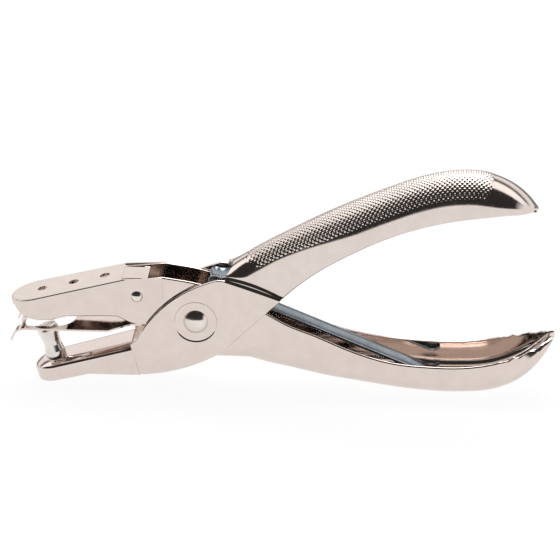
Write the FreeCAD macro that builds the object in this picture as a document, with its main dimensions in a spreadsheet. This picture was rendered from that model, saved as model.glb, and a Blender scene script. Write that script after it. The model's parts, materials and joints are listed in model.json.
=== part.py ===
import FreeCAD, Part
import Sketcher
import math
import os

from FreeCAD import Placement, Rotation, Vector

# Single-hole hand punch, millimetres.
# Frame: +X from the jaws towards the handle ends, +Z up, Y across the jaws.
# The origin is the middle of the pivot rivet. The model is at rest, fully open.

DIMENSIONS = [
    # alias, value, meaning
    ("sheet", 1.0, "steel sheet of both levers"),
    ("cover_sheet", 0.6, "steel sheet of the jaw cover"),
    ("guide_sheet", 0.5, "steel sheet of the paper guide"),
    ("outer_half", 7.1, "half width of the punch lever at the pivot"),
    ("dish_depth", 0.35, "depth of the round dish around the pivot rivet"),
    ("dish_radius", 6.15, "radius of that dish"),
    ("slide_gap", 0.05, "play between a dish and the die lever's cheek"),
    ("jaw_spread", 0.6, "how much wider each jaw arm stands at the nose"),
    ("upper_half", 8.9, "half width of the upper handle at its widest"),
    ("neck_half", 6.4, "half width of the upper handle at its front edge"),
    ("upper_start_x", 10.3, "front edge of the upper handle's back"),
    ("upper_start_z", 16.2, "its height"),
    ("upper_angle", 32.5, "rise of the upper handle's straight stretch, degrees"),
    ("upper_straight", 20.0, "length of that stretch"),
    ("upper_bend", 121.0, "radius of the long bend after it"),
    ("upper_flat_angle", 13.0, "rise where the long bend ends, degrees"),
    ("upper_shoulder_bend", 50.0, "radius of the bend over the shoulder, up to level"),
    ("upper_nose_bend", 22.0, "radius of the nose's bend"),
    ("upper_nose_angle", -55.0, "slope at the tip, degrees"),
    ("lower_half", 9.6, "half width of the lower handle at its widest"),
    ("lower_start_x", 7.0, "front end of the lower handle's floor"),
    ("lower_start_z", -10.5, "its height"),
    ("lower_angle", -14.5, "slope of the lower handle's straight stretch, degrees"),
    ("lower_level", 8.0, "level stretch of the floor behind the pivot"),
    ("lower_straight", 13.5, "length of the sloping stretch"),
    ("lower_bend", 232.0, "radius of the long bend after it"),
    ("lower_flat_angle", -5.0, "slope where the long bend ends, degrees"),
    ("lower_shoulder_bend", 44.5, "radius of the first bend of the nose"),
    ("lower_shoulder_angle", 22.7, "rise where that bend ends, degrees"),
    ("lower_nose_bend", 25.7, "radius of the nose's last bend"),
    ("lower_nose_angle", 66.0, "slope at the tip, degrees"),
    ("floor_corner", 3.2, "corner radius between floor and walls of the lower handle"),
    ("jaw_angle", 16.1, "slope of the open lower jaw, degrees"),
    ("jaw_root_x", -18.4, "rear end of the lower jaw's top"),
    ("jaw_root_z", -7.6, "its height"),
    ("jaw_length", 28.9, "lower jaw from there to its nose"),
    ("jaw_nose_half", 6.4, "half width of the lower jaw at its nose"),
    ("jaw_corner", 1.9, "bend radius along the lower jaw's top"),
    ("die_x", -43.0, "die hole, ahead of the pivot"),
    ("die_floor", -0.4, "underside of the die"),
    ("die_thick", 2.0, "thickness of the die"),
    ("die_length", 12.0, "length of the die"),
    ("punch_x", -40.4, "foot of the punch on the lower jaw"),
    ("punch_radius", 3.1, "cutting radius of the punch"),
    ("punch_waist", 2.45, "radius of its waist"),
    ("punch_base", 2.9, "radius of its base"),
    ("punch_length", 9.3, "punch above the lower jaw"),
    ("punch_shank", 2.0, "radius of the riveted shank"),
    ("punch_play", 0.45, "play between punch head and die, for its arc"),
    ("backing_thick", 1.2, "thickness of the washer under the punch"),
    ("backing_radius", 3.8, "radius of that washer"),
    ("cover_angle", 14.0, "slope of the cover's top, degrees"),
    ("cover_top_z", 6.45, "cover's top above the die hole"),
    ("cover_nose_x", -52.6, "front of the cover"),
    ("cover_level_x", -20.8, "where the cover's top turns level"),
    ("cover_tail_x", -13.6, "rear end of the cover's top"),
    ("cover_skirt_x", -9.3, "rear end of the cover's skirts"),
    ("vent_radius", 1.45, "small holes in the cover"),
    ("vent_pitch", 8.85, "distance between them along X"),
    ("throat", 2.2, "paper gap between die and guide"),
    ("guide_half", 8.4, "half width of the paper guide"),
    ("guide_rail", 1.9, "width of its side rails"),
    ("guide_front", -49.8, "front edge of the guide at its middle"),
    ("guide_taper_x", -24.7, "where the guide starts to narrow"),
    ("guide_tail_x", -8.5, "rear end of the guide's tail"),
    ("guide_tail_half", 3.4, "half width of the tail"),
    ("horn_drop", 3.6, "how far the horns' tips hang below the guide"),
    ("rivet_shank", 2.0, "radius of the pivot rivet"),
    ("rivet_head", 3.5, "radius of its head"),
    ("rivet_dome", 1.9, "height of its head"),
    ("rivet_play", 0.05, "running clearance on the pivot rivet"),
    ("sleeve_radius", 3.4, "outer radius of the spacer sleeve"),
    ("burr_radius", 4.2, "radius of the washer under the rivet's closed head"),
    ("burr_thick", 0.5, "thickness of that washer"),
    ("tail_head", 2.9, "radius of the rivet's closed head"),
    ("tail_dome", 1.3, "height of that head"),
    ("pin_x", -16.5, "cross pin, ahead of the pivot"),
    ("pin_z", 7.0, "its height"),
    ("pin_shank", 1.1, "radius of the cross pin"),
    ("pin_head", 1.7, "radius of its heads"),
    ("pin_dome", 1.0, "height of its heads"),
    ("edge_x", 23.6, "handle's lower edge where the straight rear edge ends"),
    ("edge_z", 6.9, "its height"),
    ("edge_angle", 46.0, "rise of the handle's lower edge there, degrees"),
    ("edge_bend", 91.0, "radius of the handle's lower edge"),
    ("crease_x", 7.6, "front end of the crease between cheek and handle"),
    ("crease_z", 12.45, "its height"),
    ("crease_width", 1.3, "height of the sloping crease"),
    ("spring_half", 3.2, "half width of the leaf spring"),
    ("spring_sheet", 0.7, "thickness of the leaf spring"),
    ("spring_slope", -24.4, "slope of the spring's long leg, degrees"),
]

doc = FreeCAD.newDocument("hand_punch")
sheet = doc.addObject("Spreadsheet::Sheet", "Sizes")


class Size:
    """A length or angle that knows its value and the sheet expression behind it."""

    def __init__(self, value, text):
        self.value = value
        self.text = text

    def __add__(self, other):
        other = as_size(other)
        return Size(self.value + other.value, f"({self.text} + {other.text})")

    def __sub__(self, other):
        other = as_size(other)
        return Size(self.value - other.value, f"({self.text} - {other.text})")

    def __mul__(self, factor):
        return Size(self.value * factor, f"({self.text} * {factor})")

    def __neg__(self):
        return self * -1


def as_size(value):
    if isinstance(value, Size):
        return value
    return Size(float(value), repr(float(value)))


def fill_sheet():
    cells = {}
    for row, (alias, value, meaning) in enumerate(DIMENSIONS, start=1):
        sheet.set(f"A{row}", meaning)
        sheet.set(f"B{row}", str(value))
        sheet.setAlias(f"B{row}", alias)
    doc.recompute()
    for alias, _, _ in DIMENSIONS:
        cells[alias] = Size(float(sheet.get(alias)), f"Sizes.{alias}")
    return cells


S = fill_sheet()
N = {alias: cell.value for alias, cell in S.items()}

DIE_CLEAR = 0.04            # assembly gap between the die and the arms
DIE_NOSE = 4.6              # the outer half width less this is the die's corner cut
TAIL_CLEAR = 0.1            # gap between the cover's tail and the arms
SEAT = 0.02                 # assembly gap between nested sheets
FAR = 40.0                  # beyond every piece, for the cutting blocks

inner_half = S["outer_half"] - S["sheet"] - S["dish_depth"] - S["slide_gap"]
guide_top = S["die_floor"] - S["throat"]
XZ = Placement(Vector(0, 0, 0), Rotation(Vector(1, 0, 0), 90))
ACROSS = Rotation(Vector(1, 0, 0), 90)


# ---------------------------------------------------------------- sketches

def draw_outline(sketch, corners):
    """Closed outline. A corner is (x, y) or (x, y, radius, side) when an arc leads on from it.

    Every corner is held by its distances from the origin and every arc by its radius.
    side is +1 for an arc that bulges to the left of its direction, -1 to the right."""
    count = len(corners)
    places = [(as_size(c[0]), as_size(c[1])) for c in corners]
    for i, corner in enumerate(corners):
        start = Vector(places[i][0].value, places[i][1].value, 0)
        nxt = places[(i + 1) % count]
        end = Vector(nxt[0].value, nxt[1].value, 0)
        if len(corner) == 2:
            sketch.addGeometry(Part.LineSegment(start, end), False)
        else:
            radius = as_size(corner[2]).value
            sketch.addGeometry(arc_between(start, end, radius, corner[3]), False)
    ends = [(2, 1) if len(corner) > 2 and corner[3] > 0 else (1, 2) for corner in corners]
    for i, corner in enumerate(corners):
        after = (i + 1) % count
        sketch.addConstraint(Sketcher.Constraint("Coincident", i, ends[i][1], after, ends[after][0]))
    for i, corner in enumerate(corners):
        hold(sketch, "DistanceX", i, ends[i][0], places[i][0])
        hold(sketch, "DistanceY", i, ends[i][0], places[i][1])
        if len(corner) > 2:
            radius = as_size(corner[2])
            index = sketch.addConstraint(Sketcher.Constraint("Radius", i, radius.value))
            sketch.setExpression(f"Constraints[{index}]", radius.text)


def hold(sketch, kind, geometry, end, size):
    index = sketch.addConstraint(Sketcher.Constraint(kind, geometry, end, size.value))
    sketch.setExpression(f"Constraints[{index}]", size.text)


def arc_between(start, end, radius, side):
    """Anticlockwise arc through both points, from end to start when it bulges to the left."""
    chord = end - start
    left = Vector(-chord.y, chord.x, 0).normalize()
    reach = math.sqrt(radius ** 2 - (chord.Length / 2) ** 2)
    hub = start + chord / 2 - left * reach * side
    first, last = (end, start) if side > 0 else (start, end)
    angles = [math.atan2(p.y - hub.y, p.x - hub.x) for p in (first, last)]
    return Part.ArcOfCircle(Part.Circle(hub, Vector(0, 0, 1), radius), *angles)


def draw_circle(sketch, x, y, radius):
    centre = Vector(x.value, y.value, 0)
    i = sketch.addGeometry(Part.Circle(centre, Vector(0, 0, 1), radius.value), False)
    hold(sketch, "DistanceX", i, 3, x)
    hold(sketch, "DistanceY", i, 3, y)
    index = sketch.addConstraint(Sketcher.Constraint("Radius", i, radius.value))
    sketch.setExpression(f"Constraints[{index}]", radius.text)


def plane_of(body, role):
    return next(f for f in body.Origin.OriginFeatures if f.Role == role)


def body_sketch(body, name, role, height=None):
    """Sketch on one of the body's own origin planes, lifted by height along its normal."""
    sketch = body.newObject("Sketcher::SketchObject", name)
    sketch.AttachmentSupport = (plane_of(body, role), [""])
    sketch.MapMode = "FlatFace"
    if height is not None:
        sketch.AttachmentOffset = Placement(Vector(0, 0, height.value), Rotation())
        sketch.setExpression("AttachmentOffset.Base.z", height.text)
    return sketch


def side_block(name, corners, half):
    """Solid with a side-view outline, reaching half a width to each side of the middle."""
    sketch = doc.addObject("Sketcher::SketchObject", name + "_outline")
    sketch.Placement = XZ
    draw_outline(sketch, corners)
    block = doc.addObject("Part::Extrusion", name)
    block.Base = sketch
    block.DirMode = "Normal"
    block.Solid = True
    block.Symmetric = True
    block.LengthFwd = half.value * 2
    block.setExpression("LengthFwd", f"2 * {half.text}")
    return block


def plan_block(name, corners, low, high):
    """Solid with a plan-view outline between two heights."""
    sketch = doc.addObject("Sketcher::SketchObject", name + "_outline")
    sketch.Placement = Placement(Vector(0, 0, low.value), Rotation())
    sketch.setExpression("Placement.Base.z", low.text)
    draw_outline(sketch, corners)
    block = doc.addObject("Part::Extrusion", name)
    block.Base = sketch
    block.DirMode = "Normal"
    block.Solid = True
    block.LengthFwd = high.value - low.value
    block.setExpression("LengthFwd", f"{high.text} - {low.text}")
    return block


def combine(kind, name, shapes):
    """Boolean of document objects: Cut and Common take two, MultiFuse takes any number."""
    result = doc.addObject(kind, name)
    if kind == "Part::Cut":
        result.Base, result.Tool = shapes
    else:
        result.Shapes = shapes
    return result


def cylinder_y(name, x, y, z, radius, length):
    """Cylinder along Y from y to y + length."""
    rod = doc.addObject("Part::Cylinder", name)
    rod.Radius = radius.value
    rod.setExpression("Radius", radius.text)
    rod.Height = length.value
    rod.setExpression("Height", length.text)
    rod.Placement = Placement(Vector(x.value, (y + length).value, z.value), ACROSS)
    rod.setExpression("Placement.Base.x", x.text)
    rod.setExpression("Placement.Base.y", (y + length).text)
    rod.setExpression("Placement.Base.z", z.text)
    return rod


def fixed(name, shape):
    """Free-form shape as a document object."""
    feature = doc.addObject("Part::Feature", name)
    feature.Shape = shape
    return feature


# ---------------------------------------------------------------- handles

def walk(start, steps):
    """Stations (distance, point, heading) along straight runs and arcs.

    A step is (heading before, heading after, length); its angles are in degrees."""
    stations = []
    at = Vector(*start)
    travelled = 0.0
    for before, after, length in steps:
        pieces = max(2, int(length / 0.5))
        for k in range(pieces):
            heading = math.radians(before + (after - before) * (k + 0.5) / pieces)
            stations.append((travelled + length * k / pieces, Vector(at), heading))
            at = at + Vector(math.cos(heading), 0, math.sin(heading)) * (length / pieces)
        travelled += length
    stations.append((travelled, Vector(at), math.radians(steps[-1][1])))
    return stations


def bend(radius, before, after):
    """Step along an arc between two headings."""
    return before, after, radius * math.radians(abs(after - before))


def at_distance(stations, distance):
    """Point and heading at a distance along the walked line, which runs straight before its start."""
    for (d0, p0, h0), (d1, p1, h1) in zip(stations, stations[1:]):
        if distance <= d1:
            share = (distance - d0) / (d1 - d0)
            return p0 + (p1 - p0) * share, h0 + (h1 - h0) * max(0.0, share)
    return stations[-1][1], stations[-1][2]


def ease(share):
    share = min(1.0, max(0.0, share))
    return share * share * (3 - 2 * share)


def nose_share(distance, total, nose):
    """Share of the width left at a distance: 1 before the nose, then rounding to its tip."""
    into = max(0.0, (distance - (total - nose)) / nose)
    return math.sqrt(max(0.0, 1 - into ** NOSE_POWER))


def arch_section(centre, heading, half, depth, inset):
    """Round-backed channel section, open downwards: a half circle with two legs."""
    along = Vector(math.cos(heading), 0, math.sin(heading))
    inward = Vector(along.z, 0, -along.x)
    side = Vector(0, half - inset, 0)
    hub = centre + inward * half
    crown = centre + inward * inset
    foot = centre + inward * depth
    arc = Part.Arc(hub - side, crown, hub + side).toShape()
    right = Part.LineSegment(hub + side, foot + side).toShape()
    base = Part.LineSegment(foot + side, foot - side).toShape()
    left = Part.LineSegment(foot - side, hub - side).toShape()
    return Part.Wire([arc, right, base, left])


def trough_section(centre, heading, half, depth, inset):
    """Flat-floored channel section, open upwards, with rounded bottom corners."""
    along = Vector(math.cos(heading), 0, math.sin(heading))
    up = Vector(-along.z, 0, along.x)
    width = half - inset
    corner = min(N["floor_corner"] - inset, width * 0.9)
    floor = centre + up * inset
    rim = centre + up * depth
    dip = corner * (1 - math.sqrt(0.5))

    def spot(y, rise):
        return floor + Vector(0, y, 0) + up * rise

    left_arc = Part.Arc(spot(-width, corner), spot(-width + dip, dip), spot(-width + corner, 0))
    right_arc = Part.Arc(spot(width - corner, 0), spot(width - dip, dip), spot(width, corner))
    right_rim = rim + Vector(0, width, 0)
    left_rim = rim - Vector(0, width, 0)
    return Part.Wire([
        left_arc.toShape(),
        Part.LineSegment(spot(-width + corner, 0), spot(width - corner, 0)).toShape(),
        right_arc.toShape(),
        Part.LineSegment(spot(width, corner), right_rim).toShape(),
        Part.LineSegment(right_rim, left_rim).toShape(),
        Part.LineSegment(left_rim, spot(-width, corner)).toShape(),
    ])


def side_slab(edges):
    """Thick slab across the whole tool from a closed side-view outline."""
    face = Part.Face(Part.Wire(edges))
    face.translate(Vector(0, -FAR, 0))
    return face.extrude(Vector(0, 2 * FAR, 0))


def side_lines(points):
    spots = [Vector(x, 0, z) for x, z in points]
    return [Part.LineSegment(a, b).toShape() for a, b in zip(spots, spots[1:])]


def side_curve(points):
    curve = Part.BSplineCurve()
    curve.interpolate([Vector(x, 0, z) for x, z in points])
    return curve.toShape()


NOSE_POWER = 2.4        # roundness of the noses in plan: 2 is an ellipse
NOSE_STEPS = 9          # sections in each nose
SECTION_PITCH = 4.0     # distance between sections elsewhere
TIP_HALF = 1.6          # half width left at either tip
UPPER_NOSE = 21.0       # length over which the upper handle closes
UPPER_SWELL_FROM = 8.0  # where the upper handle starts to widen
UPPER_SWELL = 30.0      # length over which it widens
UPPER_LEAD = -7.0       # the upper shell starts this far ahead and is trimmed
UPPER_LEG = 16.0        # depth of its sections, trimmed afterwards
LOWER_NOSE = 27.0       # length over which the lower handle closes
LOWER_SWELL_FROM = 17.0
LOWER_SWELL = 38.0
LOWER_LEG = 24.0        # depth of its sections at the pivot
LOWER_NOSE_LEG = 13.0   # and in the nose

upper_steps = [
    (N["upper_angle"], N["upper_angle"], N["upper_straight"]),
    bend(N["upper_bend"], N["upper_angle"], N["upper_flat_angle"]),
    bend(N["upper_shoulder_bend"], N["upper_flat_angle"], 0.0),
    bend(N["upper_nose_bend"], 0.0, N["upper_nose_angle"]),
]
lower_steps = [
    (0.0, 0.0, N["lower_level"]),
    (N["lower_angle"], N["lower_angle"], N["lower_straight"]),
    bend(N["lower_bend"], N["lower_angle"], N["lower_flat_angle"]),
    bend(N["lower_shoulder_bend"], N["lower_flat_angle"], N["lower_shoulder_angle"]),
    bend(N["lower_nose_bend"], N["lower_shoulder_angle"], N["lower_nose_angle"]),
]
upper_line = walk((N["upper_start_x"], 0, N["upper_start_z"]), upper_steps)
lower_line = walk((N["lower_start_x"], 0, N["lower_start_z"]), lower_steps)
upper_total = upper_line[-1][0]
lower_total = lower_line[-1][0]


def upper_half_at(distance):
    swell = ease((distance - UPPER_SWELL_FROM) / UPPER_SWELL)
    wide = N["neck_half"] + (N["upper_half"] - N["neck_half"]) * swell
    return max(TIP_HALF, wide * nose_share(distance, upper_total, UPPER_NOSE))


def lower_half_at(distance):
    swell = ease((distance - LOWER_SWELL_FROM) / LOWER_SWELL)
    wide = inner_half.value + (N["lower_half"] - inner_half.value) * swell
    return max(TIP_HALF, wide * nose_share(distance, lower_total, LOWER_NOSE))


def section_distances(first, last, nose):
    plain = last - nose
    count = max(2, round((plain - first) / SECTION_PITCH))
    along = [first + (plain - first) * k / count for k in range(count)]
    rounding = [plain + nose * math.sin(math.pi / 2 * k / NOSE_STEPS) for k in range(NOSE_STEPS)]
    return along + rounding + [last]


def upper_loft(inset, first, last):
    wires = []
    for distance in section_distances(first, last, UPPER_NOSE):
        point, heading = at_distance(upper_line, distance)
        half = upper_half_at(distance)
        depth = half + (UPPER_LEG - N["upper_half"]) * half / N["upper_half"]
        wires.append(arch_section(point, heading, half, depth + inset, inset))
    return Part.makeLoft(wires, True, True)


def lower_loft(inset, first, last):
    wires = []
    for distance in section_distances(first, last, LOWER_NOSE):
        point, heading = at_distance(lower_line, distance)
        share = ease((distance - LOWER_SWELL_FROM) / LOWER_SWELL)
        depth = LOWER_LEG + (LOWER_NOSE_LEG - LOWER_LEG) * share
        wires.append(trough_section(point, heading, lower_half_at(distance), depth + inset, inset))
    return Part.makeLoft(wires, True, True)


def crease_line():
    """Ends of the crease between cheek and handle: lower two, then upper two, as (x, z)."""
    front = Vector(N["crease_x"], 0, N["crease_z"])
    back = Vector(N["edge_x"], 0, N["edge_z"])
    along = (back - front).normalize()
    up = Vector(-along.z, 0, along.x) * N["crease_width"]
    slope = math.radians(N["edge_angle"])
    climb = Vector(math.cos(slope), 0, math.sin(slope))
    rise = N["crease_width"] / (climb.dot(up) / N["crease_width"])
    return front, back, front + up, back + climb * rise


def upper_trim():
    """Side view of the upper handle: crease, lower edge, nose, and the cut at its front edge."""
    front, back, front_up, back_up = crease_line()
    start = math.radians(N["edge_angle"])
    radius = N["edge_bend"]
    hub = Vector(N["edge_x"] + radius * math.sin(start), 0, N["edge_z"] - radius * math.cos(start))

    def on_edge(angle):
        return hub + Vector(-math.sin(angle), 0, math.cos(angle)) * radius

    turned = start
    while on_edge(turned).x < back_up.x:
        turned -= 0.0005
    tip, _ = at_distance(upper_line, upper_total)
    edge = Part.Arc(on_edge(turned), on_edge(turned / 2), on_edge(0)).toShape()
    crown = Vector(N["upper_start_x"], 0, N["upper_start_z"])
    out = (crown - front_up).normalize() * 6.0
    level = on_edge(0)
    closing = side_lines([
        (level.x, level.z),
        (tip.x - 1.2, tip.z - 2.6),
        (tip.x + 8, tip.z - 3.2),
        (tip.x + 8, tip.z + 20),
        ((crown + out).x, tip.z + 20),
        ((crown + out).x, (crown + out).z),
        (front_up.x, front_up.z),
        (on_edge(turned).x, on_edge(turned).z),
    ])
    return side_slab([edge] + closing)


def crease_ramp(hand):
    """Sloping sheet that joins a cheek to the narrower handle; hand is the side, +1 or -1."""
    front, back, front_up, back_up = crease_line()
    wires = []
    for low, high in ((front, front_up), (back, back_up)):
        step = (high - low).normalize() * 0.15
        outer = N["outer_half"]
        upper = N["neck_half"]
        corners = [
            low - step + Vector(0, hand * outer, 0),
            high + step + Vector(0, hand * upper, 0),
            high + step + Vector(0, hand * (upper - N["sheet"]), 0),
            low - step + Vector(0, hand * (outer - N["sheet"]), 0),
        ]
        wires.append(Part.makePolygon(corners + corners[:1]))
    return Part.makeLoft(wires, True, True)


def upper_handle():
    outer = upper_loft(0.0, UPPER_LEAD, upper_total)
    inner = upper_loft(N["sheet"], UPPER_LEAD - 1, upper_total - N["sheet"])
    shell = outer.cut(inner).common(upper_trim())
    return fixed("upper_handle", shell.fuse([crease_ramp(1), crease_ramp(-1)]))


RIM = [(20.0, 2.0), (34.0, -4.3), (43.0, -7.6), (53.0, -10.1), (64.0, -11.2), (78.0, -10.9)]
RIM_NOSE = [(78.0, -10.9), (87.0, -9.0), (94.5, -6.3), (102.5, -2.6)]


def lower_handle():
    outer = lower_loft(0.0, 0.0, lower_total)
    inner = lower_loft(N["sheet"], -1.0, lower_total - N["sheet"])
    above = side_slab([side_curve(RIM), side_curve(RIM_NOSE)]
                      + side_lines([RIM_NOSE[-1], (108.0, 30.0), (0.0, 30.0), (0.0, 9.9), RIM[0]]))
    return fixed("lower_handle", outer.cut(inner).cut(above))


# ---------------------------------------------------------------- punch lever

jaw_slope = Rotation(Vector(0, 1, 0), -N["jaw_angle"])
jaw_root = Vector(N["jaw_root_x"], 0, N["jaw_root_z"])
jaw_frame = Placement(jaw_root, jaw_slope)


def nose_outline(nose_x, tail_x, nose_half, tail_half, plain_x):
    """Plan outline with a half-round nose; x runs from the nose at nose_x back to tail_x."""
    hub = nose_x + nose_half
    return [
        (tail_x, -tail_half),
        (tail_x, tail_half),
        (plain_x, tail_half),
        (hub, nose_half, nose_half, -1),
        (nose_x, Size(0.0, "0"), nose_half, -1),
        (hub, -nose_half),
        (plain_x, -tail_half),
    ]


def rounded_block(name, outline, low, high, frame, radius):
    """Plan block in a frame of its own, with its upper edges rounded."""
    block = plan_block(name + "_block", outline, low, high)
    doc.recompute()
    block.Base.Placement = frame.multiply(block.Base.Placement)
    block.Base.setExpression("Placement.Base.z", None)
    doc.recompute()
    up = frame.Rotation.multVec(Vector(0, 0, 1))
    top = frame.Base.dot(up) + high.value
    rounded = doc.addObject("Part::Fillet", name)
    rounded.Base = block
    chosen = []
    for index, edge in enumerate(block.Shape.Edges, start=1):
        ends = [v.Point for v in edge.Vertexes] + [edge.valueAt(edge.FirstParameter)]
        level = all(abs(p.dot(up) - top) < 1e-4 for p in ends)
        across = abs(edge.Vertexes[0].Point.x - edge.Vertexes[-1].Point.x) < 1e-6
        if level and not (across and abs(edge.CenterOfMass.y) < 1e-6):
            chosen.append((index, radius.value, radius.value))
    rounded.Edges = chosen
    return rounded


def lower_jaw():
    """Round-nosed channel, open below, in the sloping frame of the lower jaw."""
    nose_x = -S["jaw_length"]
    plain = Size(-3.0, "-3")
    skin = S["sheet"]
    deep = Size(-9.0, "-9")
    outer = rounded_block(
        "jaw_outer",
        nose_outline(nose_x, Size(0.0, "0"), S["jaw_nose_half"], S["outer_half"], plain),
        deep, Size(0.0, "0"), jaw_frame, S["jaw_corner"])
    inner = rounded_block(
        "jaw_inner",
        nose_outline(nose_x + skin, Size(1.0, "1"), S["jaw_nose_half"] - skin,
                     S["outer_half"] - skin, plain),
        deep - skin, -skin, jaw_frame, S["jaw_corner"] - skin)
    shell = combine("Part::Cut", "jaw_shell", [outer, inner])
    below = side_block("jaw_below", [
        (-52, -22.3), (-30.4, -16.75), (-12, -16.43), (-12, -30), (-52, -30)], Size(20.0, "20"))
    return combine("Part::Cut", "lower_jaw", [shell, below])


def punch_cheeks():
    """Two flat cheeks around the pivot, each with a round dish for the rivet."""
    outline = [
        (-19.4, -16.55),
        (-19.4, -7.9),
        (S["jaw_root_x"], S["jaw_root_z"]),
        (-16.6, -6.1, 36.2, 1),
        (6.0, 12.5),
        (S["crease_x"], S["crease_z"]),
        (S["edge_x"], S["edge_z"]),
        (7.0, -9.1, 45.5, 1),
    ]
    slab = side_block("cheek_slab", outline, S["outer_half"])
    middle = side_block("cheek_middle", [(-FAR, -FAR), (FAR, -FAR), (FAR, FAR), (-FAR, FAR)],
                        S["outer_half"] - S["sheet"])
    return combine("Part::Cut", "cheeks", [slab, middle])


def dish(hand):
    """Sheet pressed inwards around the rivet: what it fills inside and what it leaves outside."""
    depth = S["dish_depth"]
    outer = S["outer_half"]
    inner = outer - S["sheet"]
    if hand > 0:
        boss = cylinder_y("dish_boss", zero, inner - depth, zero, S["dish_radius"], depth)
        sink = cylinder_y("dish_sink", zero, outer - depth, zero, S["dish_radius"], depth)
    else:
        boss = cylinder_y("dish_boss", zero, -inner, zero, S["dish_radius"], depth)
        sink = cylinder_y("dish_sink", zero, -outer, zero, S["dish_radius"], depth)
    return boss, sink


def punch_lever():
    near_boss, near_sink = dish(-1)
    far_boss, far_sink = dish(1)
    whole = combine("Part::MultiFuse", "punch_lever_whole",
                    [punch_cheeks(), lower_jaw(), upper_handle(), near_boss, far_boss])
    bore = cylinder_y("rivet_hole", zero, -S["outer_half"] - 1, zero, S["rivet_shank"],
                      S["outer_half"] * 2 + 2)
    seat = doc.addObject("Part::Cylinder", "punch_hole")
    seat.Radius = N["punch_shank"]
    seat.setExpression("Radius", "Sizes.punch_shank")
    seat.Height = 4
    seat.Placement = Placement(punch_foot + jaw_slope.multVec(Vector(0, 0, -2)), jaw_slope)
    tools = combine("Part::MultiFuse", "punch_lever_tools", [near_sink, far_sink, bore, seat])
    lever = combine("Part::Cut", "punch_lever_solid", [whole, tools])
    lever.Label = "punch_lever"
    return lever


# ---------------------------------------------------------------- turned pieces

def turned(name, profile, place):
    """Body turned about its own Z axis. The profile lists (radius, height) from foot to crown;
    an entry (radius, height, bend, side) starts an arc."""
    body = doc.addObject("PartDesign::Body", name)
    body.Label = name
    sketch = body_sketch(body, name + "_profile", "XZ_Plane")
    draw_outline(sketch, profile)
    spin = body.newObject("PartDesign::Revolution", name + "_turning")
    spin.Profile = sketch
    spin.ReferenceAxis = (sketch, ["V_Axis"])
    spin.Angle = 360
    body.Placement = place
    return body


def dome_radius(base, height):
    """Radius of the sphere that a dome of that base and height is cut from."""
    return (base * base + height * height) / (2 * height)


def dome(base, height):
    """Sheet expression of a dome's sphere."""
    text = f"(({base.text})^2 + ({height.text})^2) / (2 * ({height.text}))"
    return Size(dome_radius(base.value, height.value), text)


zero = Size(0.0, "0")
punch_reach = (N["punch_x"] - N["jaw_root_x"]) / math.cos(math.radians(N["jaw_angle"]))
punch_foot = jaw_frame.multVec(Vector(punch_reach, 0, 0))


def punch_pin():
    under = -(S["sheet"] + S["backing_thick"])
    place = Placement(punch_foot, jaw_slope)
    pin = turned("punch_pin", [
        (zero, under - 0.7),
        (S["punch_shank"] + 0.7, under - 0.7),
        (S["punch_shank"] + 0.7, under),
        (S["punch_shank"], under),
        (S["punch_shank"], zero),
        (S["punch_base"], zero),
        (S["punch_base"], Size(1.5, "1.5")),
        (S["punch_waist"], Size(3.4, "3.4")),
        (S["punch_waist"] + 0.1, Size(4.6, "4.6")),
        (S["punch_radius"], S["punch_length"] - 1.7),
        (S["punch_radius"], S["punch_length"] - 1.0),
        (S["punch_radius"] - 0.45, S["punch_length"]),
        (zero, S["punch_length"]),
    ], place)
    return pin


def pivot_rivet():
    """Domed rivet; its own Z runs from the near side (-Y) to the far side."""
    face = S["outer_half"] - S["dish_depth"]
    tail = face + S["burr_thick"]
    return turned("pivot_rivet", [
        (zero, -face - S["rivet_dome"], dome(S["rivet_head"], S["rivet_dome"]), -1),
        (S["rivet_head"], -face),
        (S["rivet_shank"], -face),
        (S["rivet_shank"], tail),
        (S["tail_head"], tail, dome(S["tail_head"], S["tail_dome"]), -1),
        (zero, tail + S["tail_dome"]),
    ], Placement(Vector(0, 0, 0), Rotation(Vector(1, 0, 0), -90)))


def ring(name, bore, rim, low, high, place):
    return turned(name, [(bore, low), (rim, low), (rim, high), (bore, high)], place)


def cross_pin():
    """Rivet that ties the cover to the two jaw arms."""
    face = arm_half_at(N["pin_x"] - N["pin_head"]) + S["cover_sheet"].value + SEAT + SEAT
    face = Size(face, repr(round(face, 4)))
    return turned("cross_pin", [
        (zero, -face - S["pin_dome"], dome(S["pin_head"], S["pin_dome"]), -1),
        (S["pin_head"], -face),
        (S["pin_shank"], -face),
        (S["pin_shank"], face),
        (S["pin_head"], face, dome(S["pin_head"], S["pin_dome"]), -1),
        (zero, face + S["pin_dome"]),
    ], Placement(Vector(N["pin_x"], 0, N["pin_z"]), Rotation(Vector(1, 0, 0), -90)))


# ---------------------------------------------------------------- die lever, cover, die, guide

ARM_PLAIN_X = -12.0     # the arms run parallel behind this and spread ahead of it


def arm_nose_half():
    return inner_half + S["jaw_spread"]


def arm_half_at(x):
    """Outer half width of the arms at a place along X."""
    hub = N["cover_nose_x"] + N["cover_sheet"] + SEAT + arm_nose_half().value
    share = min(1.0, max(0.0, (ARM_PLAIN_X - x) / (ARM_PLAIN_X - hub)))
    return inner_half.value + N["jaw_spread"] * share


def arm_outline(grow):
    """Plan outline of the upper jaw, grown outwards by an amount."""
    nose_x = S["cover_nose_x"] + S["cover_sheet"] + SEAT - grow
    return nose_outline(nose_x, Size(22.0, "22"), arm_nose_half() + grow, inner_half + grow,
                        Size(ARM_PLAIN_X, repr(ARM_PLAIN_X)))


def cover_z(x, drop=0.0):
    """Height of the cover's sloping top at a place along X."""
    return N["cover_top_z"] + math.tan(math.radians(N["cover_angle"])) * (x - N["die_x"]) - drop


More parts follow.
